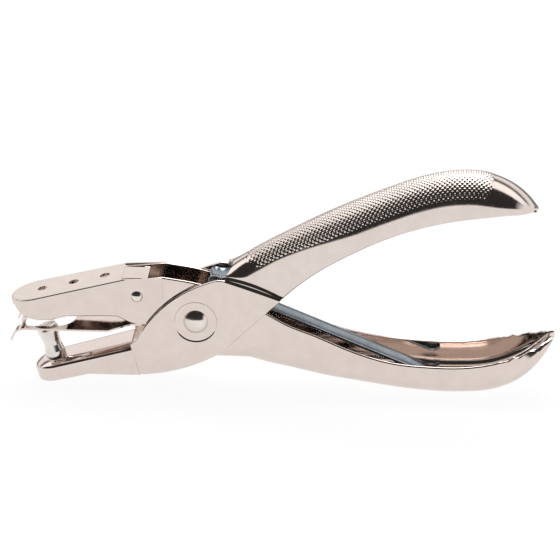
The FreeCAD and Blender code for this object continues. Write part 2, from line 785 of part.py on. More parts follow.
def jaw_arms():
    low = Size(-14.0, "-14")
    high = Size(16.0, "16")
    outer = plan_block("arms_outer", arm_outline(Size(0.0, "0")), low, high)
    inner = plan_block("arms_inner", arm_outline(-S["sheet"]), low - 1, high + 1)
    wall = combine("Part::Cut", "arms_wall", [outer, inner])
    under = N["cover_sheet"] + SEAT
    outline = [
        (-53.5, 2.9),
        (-53.5, cover_z(-53.5, under)),
        (-21.4, cover_z(-21.4, under)),
        (-20.4, 11.1),
        (-9.3, 12.4, 63.0, 1),
        (20.0, 2.0),
        (20.0, -9.0),
        (7.0, -10.5),
        (-6.0, -10.5),
        (-13.0, -1.4),
        (-17.1, -1.4),
        (-19.3, -0.6),
        (-22.0, 0.8),
        (-24.4, 0.95),
        (-37.1, 0.6),
        (-40.2, -0.5),
        (-44.8, -0.8),
        (-48.9, 0.1),
    ]
    profile = side_block("arms_profile", outline, Size(20.0, "20"))
    return combine("Part::MultiCommon", "arms", [wall, profile])


def die_lever():
    whole = combine("Part::MultiFuse", "die_lever_whole", [jaw_arms(), lower_handle()])
    reach = inner_half + 1
    bore = cylinder_y("arm_bore", zero, -reach, zero, S["rivet_shank"] + S["rivet_play"], reach * 2)
    reach = inner_half + 3
    pin = cylinder_y("arm_pin_bore", S["pin_x"], -reach, S["pin_z"], S["pin_shank"], reach * 2)
    tools = combine("Part::MultiFuse", "die_lever_tools", [bore, pin])
    lever = combine("Part::Cut", "die_lever_solid", [whole, tools])
    lever.Label = "die_lever"
    return lever


def jaw_cover():
    seat = Size(SEAT, repr(SEAT))
    skin = S["cover_sheet"]
    low = Size(-6.0, "-6")
    high = Size(16.0, "16")
    outer = plan_block("cover_outer", arm_outline(skin + seat), low, high)
    inner = plan_block("cover_inner", arm_outline(seat), low - 1, high + 1)
    skirt = S["cover_skirt_x"]
    level = S["cover_level_x"]
    top_level = cover_z(N["cover_level_x"])
    outline = [
        (-55.0, cover_z(-55.0)),
        (level, top_level),
        (skirt, 12.65),
        (skirt, 6.0),
        (-13.4, 2.6),
        (-15.6, 2.6),
        (-21.2, 4.5),
        (-25.4, 5.1),
        (-41.6, 2.4),
        (-46.6, 1.1),
        (-49.6, cover_z(-49.6, 1.7)),
        (-55.0, cover_z(-55.0, 1.7)),
    ]
    body = combine("Part::MultiCommon", "cover_body",
                   [outer, side_block("cover_profile", outline, Size(20.0, "20"))])
    doc.recompute()
    rounded = doc.addObject("Part::Fillet", "cover_rounded")
    rounded.Base = body
    rounded.Edges = [(i, 0.45, 0.45) for i, edge in enumerate(body.Shape.Edges, start=1)
                     if on_cover_top(edge)]
    void = [
        (-57.0, cover_z(-57.0, skin.value)),
        (level, cover_z(N["cover_level_x"], skin.value)),
        (level, 20.0),
        (0.0, 20.0),
        (0.0, -8.0),
        (-57.0, -8.0),
    ]
    hollow = combine("Part::MultiCommon", "cover_hollow",
                     [inner, side_block("cover_void", void, Size(20.0, "20"))])
    shell = combine("Part::Cut", "cover_shell", [rounded, hollow])
    tail_high = top_level - 0.25
    tail_low = Size(tail_high - skin.value, repr(round(tail_high - skin.value, 4)))
    rear = S["cover_tail_x"]
    wide = inner_half - S["sheet"] - TAIL_CLEAR
    tail = plan_block("cover_tail", [
        (level - 0.8, -wide + 0.6),
        (Size(-15.4, "-15.4"), -wide + 0.6),
        (Size(-15.0, "-15"), -wide),
        (rear, -wide),
        (rear, wide),
        (Size(-15.0, "-15"), wide),
        (Size(-15.4, "-15.4"), wide - 0.6),
        (level - 0.8, wide - 0.6),
    ], tail_low, Size(tail_high, repr(round(tail_high, 4))))
    whole = combine("Part::MultiFuse", "cover_whole", [shell, tail])
    tools = []
    for k in range(3):
        vent = doc.addObject("Part::Cylinder", f"vent_{k}")
        vent.Radius = N["vent_radius"]
        vent.setExpression("Radius", "Sizes.vent_radius")
        vent.Height = 12
        x = N["die_x"] - 0.8 + k * N["vent_pitch"]
        tilt = Rotation(Vector(0, 1, 0), -N["cover_angle"])
        vent.Placement = Placement(Vector(x, 0, cover_z(x)) - tilt.multVec(Vector(0, 0, 3)), tilt)
        tools.append(vent)
    reach = inner_half + 3
    tools.append(cylinder_y("cover_pin_bore", S["pin_x"], -reach, S["pin_z"], S["pin_shank"], reach * 2))
    cover = combine("Part::Cut", "jaw_cover_solid",
                    [whole, combine("Part::MultiFuse", "cover_tools", tools)])
    cover.Label = "jaw_cover"
    return cover


def on_cover_top(edge):
    """True for the edges between the cover's sloping top and its walls."""
    points = [edge.valueAt(t) for t in (edge.FirstParameter, edge.LastParameter)]
    ahead = all(p.x < N["cover_level_x"] + 1e-3 for p in points)
    level = all(abs(p.z - cover_z(p.x)) < 1e-3 for p in points)
    across = abs(points[0].x - points[1].x) < 1e-3 and abs(points[0].y + points[1].y) < 1e-3
    return ahead and level and not across


def die_plate():
    body = doc.addObject("PartDesign::Body", "die")
    body.Label = "die"
    sketch = body_sketch(body, "die_outline", "XY_Plane", S["die_floor"])
    back = S["die_x"] + S["die_length"] * 0.5
    front = S["die_x"] - S["die_length"] * 0.5
    half = arm_half_at(back.value) - N["sheet"] - DIE_CLEAR
    half = Size(half, repr(round(half, 4)))
    corner = S["outer_half"] - DIE_NOSE
    draw_outline(sketch, [
        (back, -half),
        (back, half),
        (front + corner, half),
        (front, half - corner),
        (front, -half + corner),
        (front + corner, -half),
    ])
    pad = body.newObject("PartDesign::Pad", "die_pad")
    pad.Profile = sketch
    pad.Length = N["die_thick"]
    pad.setExpression("Length", "Sizes.die_thick")
    doc.recompute()
    hole = body_sketch(body, "die_hole", "XY_Plane", S["die_floor"] - 1)
    draw_circle(hole, S["die_x"], zero, S["punch_radius"] + S["punch_play"])
    pocket = body.newObject("PartDesign::Pocket", "die_bore")
    pocket.Profile = hole
    pocket.Length = N["die_thick"] + 2
    pocket.setExpression("Length", "Sizes.die_thick + 2")
    pocket.Reversed = True
    return body


def paper_guide():
    thick = S["guide_sheet"]
    top = guide_top
    half = S["guide_half"]
    tail = S["guide_tail_half"]
    front = S["guide_front"]
    plate = plan_block("guide_plate", [
        (S["guide_tail_x"], -tail),
        (S["guide_tail_x"], tail),
        (-18.8, tail),
        (S["guide_taper_x"], half),
        (front + 0.6, half),
        (front + 0.6, half - 3.4),
        (front, Size(2.0, "2")),
        (front, Size(-2.0, "-2")),
        (front + 0.6, -half + 3.4),
        (front + 0.6, -half),
        (S["guide_taper_x"], -half),
        (-18.8, -tail),
    ], top - thick, top)
    rail = half - S["guide_rail"]
    slot = plan_block("guide_slot", [
        (-48.4, -rail + 2.0),
        (-47.6, -rail),
        (-41.0, -rail, rail, -1),
        (Size(-41.0, "-41") + rail, zero, rail, -1),
        (-41.0, rail),
        (-47.6, rail),
        (-48.4, rail - 2.0),
    ], top - thick - 1, top + 1)
    flat = combine("Part::Cut", "guide_flat", [plate, slot])
    horns = [fixed(f"horn_{k}", horn(hand)) for k, hand in enumerate((-1, 1))]
    tabs = [fixed(f"guide_tab_{k}", guide_tab(hand)) for k, hand in enumerate((-1, 1))]
    guide = combine("Part::MultiFuse", "paper_guide_solid", [flat] + horns + tabs)
    guide.Label = "paper_guide"
    return guide


def horn(hand):
    """Ear at a front corner of the guide, rolled down and narrowing to its tip."""
    bend_radius = 3.2
    turn = math.radians(68)
    start_x = N["guide_front"] + 1.2
    top = guide_top.value
    hub = Vector(start_x, 0, top - bend_radius)

    def rim(radius, angle):
        return hub + Vector(-math.sin(angle), 0, math.cos(angle)) * radius

    inner = bend_radius - N["guide_sheet"]
    down = Vector(-math.cos(turn), 0, -math.sin(turn)) * (N["horn_drop"] - bend_radius * (1 - math.cos(turn)))
    outer_arc = Part.Arc(rim(bend_radius, 0), rim(bend_radius, turn / 2), rim(bend_radius, turn)).toShape()
    inner_arc = Part.Arc(rim(inner, turn), rim(inner, turn / 2), rim(inner, 0)).toShape()
    strip = Part.Wire([
        outer_arc,
        Part.LineSegment(rim(bend_radius, turn), rim(bend_radius, turn) + down).toShape(),
        Part.LineSegment(rim(bend_radius, turn) + down, rim(inner, turn) + down).toShape(),
        Part.LineSegment(rim(inner, turn) + down, rim(inner, turn)).toShape(),
        inner_arc,
        Part.LineSegment(rim(inner, 0), rim(bend_radius, 0)).toShape(),
    ])
    half = N["guide_half"]
    face = Part.Face(strip)
    face.translate(Vector(0, hand * (half - 3.4), 0))
    solid = face.extrude(Vector(0, hand * 3.8, 0))
    plan = Part.makePolygon([
        Vector(start_x + 1, hand * (half - 3.4), -20),
        Vector(start_x + 1, hand * half, -20),
        Vector(start_x - 4.4, hand * (half + 0.4), -20),
        Vector(start_x - 4.4, hand * (half - 0.9), -20),
        Vector(start_x - 1.4, hand * (half - 3.0), -20),
        Vector(start_x + 1, hand * (half - 3.4), -20),
    ])
    return solid.common(Part.Face(plan).extrude(Vector(0, 0, 30)))


def guide_tab(hand):
    """Tab at the guide's tail, bent up against the inside of an arm."""
    inside = inner_half.value - N["sheet"] - SEAT
    thick = N["guide_sheet"]
    floor = guide_top.value - thick
    foot = Part.makeBox(3.5, inside - N["guide_tail_half"] + 0.5, thick,
                        Vector(-12.5, N["guide_tail_half"] - 0.5, floor))
    wall = Part.makeBox(3.5, thick, 4.0, Vector(-12.5, inside - thick, floor))
    tab = foot.fuse(wall)
    if hand < 0:
        tab = tab.mirror(Vector(0, 0, 0), Vector(0, 1, 0))
    return tab


# ---------------------------------------------------------------- leaf spring

def return_spring():
    """Hairpin leaf spring: short leg under the upper handle's back, long leg down to the floor."""
    slope = math.radians(N["spring_slope"])
    along = Vector(math.cos(slope), 0, math.sin(slope))
    nose = Vector(4.6, 0, 10.8)
    bend_radius = 1.2
    tail = nose + along * 66.5
    lift = Vector(-along.z, 0, along.x) * (2 * bend_radius)
    turn_mid = nose - along * bend_radius + lift / 2
    rise = math.radians(N["upper_angle"])
    back = Vector(math.cos(rise), 0, math.sin(rise))
    leg_end, _ = at_distance(upper_line, 17.0)
    leg_end = leg_end - Vector(-back.z, 0, back.x) * (N["sheet"] + 2.1)
    leg_start = leg_end - back * 11.0
    bow = Part.BezierCurve()
    bow.setPoles([nose + lift, nose + lift + along * 4.5, leg_start - back * 2.8, leg_start])
    heel = tail + Vector(math.cos(0.15), 0, math.sin(0.15)) * 3.2
    toe = Part.BezierCurve()
    toe.setPoles([tail, tail + along * 1.8, heel - Vector(math.cos(0.15), 0, math.sin(0.15)) * 1.2, heel])
    path = Part.Wire([
        toe.toShape().reversed(),
        Part.LineSegment(tail, nose).toShape(),
        Part.Arc(nose, turn_mid, nose + lift).toShape(),
        bow.toShape(),
        Part.LineSegment(leg_start, leg_end).toShape(),
    ])
    half = N["spring_half"]
    up = Vector(-back.z, 0, back.x) * (N["spring_sheet"] / 2)
    corners = [leg_end + up + Vector(0, half, 0), leg_end + up - Vector(0, half, 0),
               leg_end - up - Vector(0, half, 0), leg_end - up + Vector(0, half, 0)]
    section = Part.makePolygon(corners + corners[:1])
    strip = path.makePipeShell([section], True, False, 2)
    spring = fixed("return_spring_strip", strip)
    spring.Label = "return_spring"
    return spring


# ---------------------------------------------------------------- assembly

def build():
    rivet_place = Placement(Vector(0, 0, 0), Rotation(Vector(1, 0, 0), -90))
    face = S["outer_half"] - S["dish_depth"]
    inside = inner_half - S["sheet"]
    return [
        punch_lever(),
        punch_pin(),
        ring("punch_backing", S["punch_shank"], S["backing_radius"], -S["sheet"] - S["backing_thick"],
             -S["sheet"], Placement(punch_foot, jaw_slope)),
        pivot_rivet(),
        ring("rivet_washer", S["rivet_shank"], S["burr_radius"], face, face + S["burr_thick"], rivet_place),
        ring("pivot_sleeve", S["rivet_shank"] + S["rivet_play"], S["sleeve_radius"], -inside, inside,
             rivet_place),
        die_lever(),
        die_plate(),
        jaw_cover(),
        cross_pin(),
        paper_guide(),
        return_spring(),
    ]


def check(pieces):
    for obj in doc.Objects:
        if "Invalid" in obj.State or "Error" in obj.State:
            raise RuntimeError(f"{obj.Name} failed: {obj.State}")
    for piece in pieces:
        shape = piece.Shape
        if shape.isNull() or not shape.isValid() or not shape.Solids:
            raise RuntimeError(f"{piece.Label} has no valid solid")
        box = shape.BoundBox
        print(f"{piece.Label}: solids {len(shape.Solids)}, volume {shape.Volume:.1f}, "
              f"x {box.XMin:.1f}..{box.XMax:.1f} y {box.YMin:.1f}..{box.YMax:.1f} "
              f"z {box.ZMin:.1f}..{box.ZMax:.1f}")


pieces = build()
doc.recompute()
check(pieces)
os.makedirs("parts", exist_ok=True)
for piece in pieces:
    piece.Shape.exportStep(f"parts/{piece.Label}.step")
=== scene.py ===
import json
import math

import bmesh
import bpy
import numpy as np
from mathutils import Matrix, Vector


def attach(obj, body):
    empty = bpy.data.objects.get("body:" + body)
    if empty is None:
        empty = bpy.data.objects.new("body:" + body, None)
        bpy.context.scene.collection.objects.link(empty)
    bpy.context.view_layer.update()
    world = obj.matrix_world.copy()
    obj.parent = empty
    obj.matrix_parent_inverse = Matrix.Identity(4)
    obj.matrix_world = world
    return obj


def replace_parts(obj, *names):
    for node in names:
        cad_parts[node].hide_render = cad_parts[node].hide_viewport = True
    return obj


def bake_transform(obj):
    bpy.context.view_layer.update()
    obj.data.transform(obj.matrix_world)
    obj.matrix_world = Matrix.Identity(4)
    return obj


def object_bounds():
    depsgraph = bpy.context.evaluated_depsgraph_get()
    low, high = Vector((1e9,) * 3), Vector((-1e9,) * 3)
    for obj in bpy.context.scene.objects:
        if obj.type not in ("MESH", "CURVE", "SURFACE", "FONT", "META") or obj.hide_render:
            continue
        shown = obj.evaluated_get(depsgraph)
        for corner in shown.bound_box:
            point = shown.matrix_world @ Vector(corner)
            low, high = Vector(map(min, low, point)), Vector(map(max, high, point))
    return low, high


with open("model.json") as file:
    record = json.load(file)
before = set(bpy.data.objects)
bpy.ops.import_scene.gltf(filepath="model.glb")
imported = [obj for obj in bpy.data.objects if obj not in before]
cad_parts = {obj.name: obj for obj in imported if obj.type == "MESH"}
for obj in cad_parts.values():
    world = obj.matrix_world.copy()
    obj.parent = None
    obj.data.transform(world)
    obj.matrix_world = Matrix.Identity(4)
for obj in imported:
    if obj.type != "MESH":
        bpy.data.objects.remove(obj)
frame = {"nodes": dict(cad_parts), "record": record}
bounds_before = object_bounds()

MM = 0.001
SHEET = 1.0             # both levers' sheet, millimetres like every length below

# ---------------------------------------------------------------- materials

CLOUDS = 260.0                      # lumps per metre, here and below: tint
SMEARS = 900.0                      # gloss
SCRATCH_GRAIN = 3000.0
SCRATCH_STRETCH = (0.05, 1, 1)      # scratches run along X
GLOSS_SPAN = (0.3, 0.7)             # the part of the noise's range that is used
TINT_SPAN = (0.35, 0.65)
GLOSS_LOW = 0.7                     # least and most roughness, as shares of the mean
GLOSS_HIGH = 1.5
PIT_DEPTH = 0.0002                  # metres
SCRATCH_DEPTH = 0.0001


def node_material(name):
    material = bpy.data.materials.new(name)
    material.use_nodes = True
    tree = material.node_tree
    shader = tree.nodes["Principled BSDF"]
    return material, tree, shader


def noise(tree, scale, detail=3.0, stretch=(1, 1, 1)):
    """Noise in the object's own coordinates; scale is in lumps per metre."""
    place = tree.nodes.new("ShaderNodeTexCoord")
    mapping = tree.nodes.new("ShaderNodeMapping")
    mapping.inputs["Scale"].default_value = stretch
    texture = tree.nodes.new("ShaderNodeTexNoise")
    texture.inputs["Scale"].default_value = scale
    texture.inputs["Detail"].default_value = detail
    tree.links.new(place.outputs["Object"], mapping.inputs["Vector"])
    tree.links.new(mapping.outputs["Vector"], texture.inputs["Vector"])
    return texture.outputs["Fac"]


def number_ramp(tree, value, low, high):
    """Maps noise onto a range of numbers."""
    node = tree.nodes.new("ShaderNodeMapRange")
    node.inputs["From Min"].default_value, node.inputs["From Max"].default_value = GLOSS_SPAN
    node.inputs["To Min"].default_value = low
    node.inputs["To Max"].default_value = high
    tree.links.new(value, node.inputs["Value"])
    return node.outputs["Result"]


def colour_ramp(tree, value, low, high):
    """Maps noise onto a range of colours."""
    node = tree.nodes.new("ShaderNodeValToRGB")
    for element, position, colour in zip(node.color_ramp.elements, TINT_SPAN, (low, high)):
        element.position = position
        element.color = (*colour, 1)
    tree.links.new(value, node.inputs["Fac"])
    return node.outputs["Color"]


def bump(tree, height, strength, distance):
    """Bump node from a height; distance is the relief's depth in metres."""
    node = tree.nodes.new("ShaderNodeBump")
    node.inputs["Strength"].default_value = strength
    node.inputs["Distance"].default_value = distance
    tree.links.new(height, node.inputs["Height"])
    return node


def metal(name, dull, bright, rough, grain=9000.0, relief=0.012, scratches=0.0):
    """Plated steel: cloudy tint, uneven gloss, fine pits and, where asked, fine scratches."""
    material, tree, shader = node_material(name)
    shader.inputs["Metallic"].default_value = 1.0
    tint = colour_ramp(tree, noise(tree, CLOUDS), dull, bright)
    tree.links.new(tint, shader.inputs["Base Color"])
    gloss = number_ramp(tree, noise(tree, SMEARS, 5.0), rough * GLOSS_LOW, rough * GLOSS_HIGH)
    tree.links.new(gloss, shader.inputs["Roughness"])
    last = bump(tree, noise(tree, grain, 2.0), relief, PIT_DEPTH)
    if scratches:
        lines = noise(tree, SCRATCH_GRAIN, 2.0, SCRATCH_STRETCH)
        second = bump(tree, lines, scratches, SCRATCH_DEPTH)
        tree.links.new(last.outputs["Normal"], second.inputs["Normal"])
        last = second
    tree.links.new(last.outputs["Normal"], shader.inputs["Normal"])
    return material


FINISH = {name: metal(name, *look) for name, *look in (
    ("nickel_plate", (0.69, 0.602, 0.555), (0.72, 0.634, 0.587), 0.09),
    ("knurled_plate", (0.69, 0.607, 0.565), (0.73, 0.647, 0.605), 0.11),
    ("rivet_steel", (0.72, 0.66, 0.61), (0.82, 0.76, 0.71), 0.16, 5000.0, 0.03),
    ("tool_steel", (0.70, 0.65, 0.62), (0.80, 0.75, 0.72), 0.14, 7000.0, 0.02, 0.05),
    ("spring_steel", (0.20, 0.235, 0.265), (0.28, 0.315, 0.35), 0.17, 7000.0, 0.02, 0.05),
)}

# ---------------------------------------------------------------- mesh helpers

SHARP = math.radians(34)    # rims turn sharper than this, so flat faces stay flat
RIM_STEPS = 4               # a sheet's rounded rim has this many facets
RIM_BULGE = 0.35
WELD = 0.002                # points closer than this become one
BISECTIONS = 36
FAR = 40.0                  # longer than any distance that is searched for


def add_mesh(name, points, faces, body, slot):
    """Mesh object from points in millimetres, smooth shaded, riding on a body."""
    mesh = bpy.data.meshes.new(name)
    mesh.from_pydata([tuple(p) for p in np.asarray(points) * MM], [], faces)
    mesh.polygons.foreach_set("use_smooth", [True] * len(mesh.polygons))
    mesh.materials.append(FINISH[slot])
    mesh.update()
    mesh.set_sharp_from_angle(angle=SHARP)
    obj = bpy.data.objects.new(name, mesh)
    bpy.context.scene.collection.objects.link(obj)
    if body:
        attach(obj, body)
    return obj


def rounded_rim(edge_out, edge_in, away):
    """Rows that carry a sheet's outer surface round its edge to its inner surface."""
    rows = []
    for k in range(1, RIM_STEPS):
        share = k / RIM_STEPS
        swell = math.sin(math.pi * share) ** 0.7 * RIM_BULGE
        rows.append(edge_out + (edge_in - edge_out) * share + away * swell)
    return rows


def unit(vectors):
    """Vectors scaled to length 1."""
    lengths = np.linalg.norm(vectors, axis=-1, keepdims=True)
    return vectors / np.maximum(lengths, 1e-9)


def sheet_faces(rows, columns):
    """Quads of a grid of rows; the last row joins the first."""
    faces = []
    for i in range(rows):
        a = i * columns
        b = ((i + 1) % rows) * columns
        faces += [(a + j, a + j + 1, b + j + 1, b + j) for j in range(columns - 1)]
    return faces


def curved_sheet(name, outer, inner, body, slot, end_caps=(True, True)):
    """Closed sheet between two grids [row, column, xyz]: rows run across, columns along.

    Its two long rims are rounded; the ends are closed straight."""
    near_away = unit(outer[0] - outer[1])
    far_away = unit(outer[-1] - outer[-2])
    loop = list(outer)
    loop += rounded_rim(outer[-1], inner[-1], far_away)
    loop += list(inner[::-1])
    loop += rounded_rim(inner[0], outer[0], near_away)
    grid = np.array(loop)
    rows, columns = grid.shape[:2]
    half = len(outer)
    faces = sheet_faces(rows, columns)
    for column, wanted in zip((0, columns - 1), end_caps):
        if not wanted:
            continue
        rings = []          # each end face's rows, in order round it
        for i in range(half - 1):
            mate = half + RIM_STEPS - 1 + (half - 1 - i)
            rings.append((i, i + 1, mate - 1, mate))
        for first in (half - 1, 2 * half + RIM_STEPS - 2):
            rings.append([(first + k) % rows for k in range(RIM_STEPS + 1)])
        for ring in rings:
            face = tuple(row * columns + column for row in ring)
            faces.append(face if column else face[::-1])
    return add_mesh(name, grid.reshape(-1, 3), faces, body, slot)


def farthest(holds, like):
    """Largest distance, one per station in like, up to which holds(distance) is true."""
    low = np.zeros_like(like)
    high = np.full_like(like, FAR)
    for _ in range(BISECTIONS):
        mid = (low + high) / 2
        inside = holds(mid)
        low = np.where(inside, mid, low)
        high = np.where(inside, high, mid)
    return low


def hermite(knots, x):
    """Smooth curve through (x, z) knots."""
    xs, zs = np.array(knots, float).T
    slopes = np.gradient(zs, xs)
    x = np.clip(x, xs[0], xs[-1])
    k = np.clip(np.searchsorted(xs, x) - 1, 0, len(xs) - 2)
    h = xs[k + 1] - xs[k]
    t = (x - xs[k]) / h
    return ((2 * t ** 3 - 3 * t ** 2 + 1) * zs[k] + (t ** 3 - 2 * t ** 2 + t) * h * slopes[k]
            + (-2 * t ** 3 + 3 * t ** 2) * zs[k + 1] + (t ** 3 - t ** 2) * h * slopes[k + 1])


# ---------------------------------------------------------------- handles


def walk(start, steps, pitch=0.25):
    """Rows of distance, x, z and heading along runs of (heading before, heading after, length).

    Headings are in degrees in the runs and in radians in the rows."""
    at = np.array(start, float)
    distance = 0.0
    rows = []
    for before, after, length in steps:
        count = max(2, int(length / pitch))
        for k in range(count):
            heading = math.radians(before + (after - before) * (k + 0.5) / count)
            rows.append((distance + length * k / count, at[0], at[1],
                         math.radians(before + (after - before) * k / count)))
            at = at + np.array([math.cos(heading), math.sin(heading)]) * length / count
        distance += length
    rows.append((distance, at[0], at[1], math.radians(steps[-1][1])))
    return np.array(rows)


def bend(radius, before, after):
    """A run that turns on an arc."""
    return before, after, radius * math.radians(abs(after - before))


def ease(share):
    """Smooth step from 0 to 1."""
    share = np.clip(share, 0, 1)
    return share * share * (3 - 2 * share)


class Line:
    """A walked side-view line; negative distances run straight ahead of its start."""

    def __init__(self, start, steps):
        self.rows = walk(start, steps)
        self.total = self.rows[-1, 0]

    def at(self, distance):
        x, z, heading = (np.interp(distance, self.rows[:, 0], self.rows[:, k]) for k in (1, 2, 3))
        ahead = np.minimum(distance, 0)
        x = x + ahead * math.cos(self.rows[0, 3])
        z = z + ahead * math.sin(self.rows[0, 3])
        return x, z, heading


UPPER = Line((10.3, 16.2), [
    (32.5, 32.5, 20.0), bend(121.0, 32.5, 13.0), bend(50.0, 13.0, 0.0), bend(22.8, 0.0, -55.5)])
LOWER = Line((7.0, -10.5), [
    (0.0, 0.0, 8.0), (-14.5, -14.5, 13.5), bend(232.0, -14.5, -5.0),
    bend(44.5, -5.0, 22.7), bend(25.7, 22.7, 66.0)])
NECK_HALF = 6.2         # half widths in plan
UPPER_HALF = 8.9
INNER_HALF = 5.7
LOWER_HALF = 9.6
UPPER_NOSE = 21.0       # length over which a handle closes round its end
LOWER_NOSE = 27.0
UPPER_NOSE_POWER = 3.4  # higher is blunter
LOWER_NOSE_POWER = 2.7
UPPER_TIP = 2.6         # least half width, at the very end
LOWER_TIP = 1.8
UPPER_WIDENS = (8.0, 30.0)      # a handle widens from this distance, over this length
LOWER_WIDENS = (17.0, 38.0)


def nose(distance, total, length, power):
    """Share of the full width that is left at a distance along a handle."""
    into = np.clip((distance - (total - length)) / length, 0, 1)
    return np.sqrt(np.maximum(0.0, 1 - into ** power))


def upper_half_at(distance):
    start, length = UPPER_WIDENS
    wide = NECK_HALF + (UPPER_HALF - NECK_HALF) * ease((distance - start) / length)
    return np.maximum(UPPER_TIP, wide * nose(distance, UPPER.total, UPPER_NOSE, UPPER_NOSE_POWER))


def lower_half_at(distance):
    start, length = LOWER_WIDENS
    wide = INNER_HALF + (LOWER_HALF - INNER_HALF) * ease((distance - start) / length)
    return np.maximum(LOWER_TIP, wide * nose(distance, LOWER.total, LOWER_NOSE, LOWER_NOSE_POWER))


EDGE_X, EDGE_Z = 23.6, 6.9      # rear end of the crease, where the lower edge begins
EDGE_HEADING = 46.0
EDGE_RADIUS = 91.0
TIP_DIP = 1.0                   # the edge turns down round the nose
TIP_DIP_FROM = 85.0
TIP_DIP_OVER = 10.0


def edge_z(x):
    """Height of the upper handle's lower edge, an arc that ends level."""
    hub_x = EDGE_X + EDGE_RADIUS * math.sin(math.radians(EDGE_HEADING))
    hub_z = EDGE_Z - EDGE_RADIUS * math.cos(math.radians(EDGE_HEADING))
    reach = np.clip(x - hub_x, -EDGE_RADIUS, 0)
    dip = TIP_DIP * ease((x - TIP_DIP_FROM) / TIP_DIP_OVER)
    return hub_z + np.sqrt(EDGE_RADIUS ** 2 - reach ** 2) - dip


CREASE = ((7.6, 12.45), (EDGE_X, EDGE_Z))
CREASE_WIDTH = 1.3
CREASE_BULGE = 0.9


def crease_z(x, lift):
    """Height of the crease line, or of a line parallel to it."""
    (x0, z0), (x1, z1) = CREASE
    slope = (z1 - z0) / (x1 - x0)
    return z0 + slope * (x - x0) + lift * math.hypot(1, slope)


def crease_bulge(x):
    """The crease is widest in its middle."""
    share = np.clip((x - CREASE[0][0]) / (CREASE[1][0] - CREASE[0][0]), 0, 1)
    return CREASE_BULGE * np.sin(math.pi * share)


KNURL_PITCH = 1.0       # diagonal distance between raised dots
KNURL_HEIGHT = 0.21
KNURL_FROM = 3.0        # along the back
KNURL_TO = 80.0
KNURL_ARC = 66.0        # degrees each side of the crown
KNURL_POWER = 0.8       # below 1 the dots have broader tops
KNURL_FADE_IN = 5.0
KNURL_FADE_OUT = 3.0
KNURL_FADE_SIDE = 0.10  # radians
LEG_SHARE = 0.8         # the arc takes this share of a half section, the flat flank the rest
COLLAR = 2.83           # how far the arch's front edge sweeps forward where it meets the cheeks
COLLAR_FADE = 7.0
ARCH_POWER = 5          # higher keeps the arch's height nearer the lesser of half width and reach
THIN = 0.05             # least size of an inner surface


def knurl(along, angle, half):
    """Height of the raised dots on a staggered lattice."""
    around = angle * half
    a = (along + around) / (KNURL_PITCH * math.sqrt(2))
    b = (along - around) / (KNURL_PITCH * math.sqrt(2))
    dots = (np.cos(math.pi * a) * np.cos(math.pi * b)) ** 2
    fade = ease((along - KNURL_FROM) / KNURL_FADE_IN) * ease((KNURL_TO - along) / KNURL_FADE_OUT)
    fade = fade * ease((math.radians(KNURL_ARC) - np.abs(angle)) / KNURL_FADE_SIDE)
    return KNURL_HEIGHT * dots ** KNURL_POWER * fade


# (x, height above the walked line) of the upper handle's back, then of the lower handle's belly
BACK = [(5.0, 0.0), (14.0, -0.1), (21.0, -0.4), (29.0, -1.1), (37.0, -1.45), (45.0, -1.45),
        (53.0, -1.1), (61.0, -0.4), (69.0, -0.05), (80.0, 0.0), (110.0, 0.0)]
BELLY = [(0.0, -1.3), (12.0, -1.4), (21.0, -1.5), (29.0, -1.05), (37.0, -0.5), (45.0, 0.4),
         (53.0, 0.95), (60.0, 1.15), (74.0, 1.15), (84.0, 0.2), (92.0, 0.0), (110.0, 0.0)]


def crown_at(along):
    """Place and heading on the upper handle's back, a little hollow ahead of its middle."""
    x, z, heading = UPPER.at(along)
    return x, z + hermite(BACK, x), heading


def reach_down(along):
    """Distance from the crown, square to the back, down to the lower edge or the crease."""
    x0, z0, heading = crown_at(along)

    def above(reach):
        x = x0 + np.sin(heading) * reach
        z = z0 - np.cos(heading) * reach
        top = crease_z(x, CREASE_WIDTH + crease_bulge(x))
        return z > np.where(x < EDGE_X, top, edge_z(x))

    return farthest(above, along)


def upper_surface(inset, base, across, dotted):
    """Grid of the upper handle. across runs -1..1: flat flanks beyond LEG_SHARE, else an arch."""
    grid = np.zeros((len(across), len(base), 3))
    for i, share in enumerate(across):
        side = 1 if share > 0 else -1
        angle = min(1.0, abs(share) / LEG_SHARE) * math.pi / 2
        sweep = COLLAR * math.sin(angle) ** 2 * (1 - ease(base / COLLAR_FADE))
        along = base - sweep
        if inset:
            along = along - inset * ease((along - (UPPER.total - UPPER_NOSE)) / UPPER_NOSE)
        x0, z0, heading = crown_at(along)
        inward = np.array([np.sin(heading), -np.cos(heading)])
        half = upper_half_at(along)
        reach = reach_down(along)
        height = half * reach / (half ** ARCH_POWER + reach ** ARCH_POWER) ** (1 / ARCH_POWER)
        wide = np.maximum(half - inset, THIN)
        rise = np.maximum(height - inset, THIN)
        if dotted:
            lift = knurl(along, side * angle, half)
            wide = wide + lift
            rise = rise + lift
        depth = height - rise * math.cos(angle)
        if abs(share) > LEG_SHARE:
            depth = depth + (reach - height) * (abs(share) - LEG_SHARE) / (1 - LEG_SHARE)
        grid[i, :, 0] = x0 + inward[0] * depth
        grid[i, :, 1] = side * wide * math.sin(angle)
        grid[i, :, 2] = z0 + inward[1] * depth
    return grid


def nose_columns(start, total, length, pitch, count):
    """Stations: even up to the nose, then crowding towards its tip."""
    plain = np.arange(start, total - length, pitch)
    turn = np.linspace(0, math.pi / 2, count)
    return np.concatenate([plain, total - length + length * np.sin(turn)])


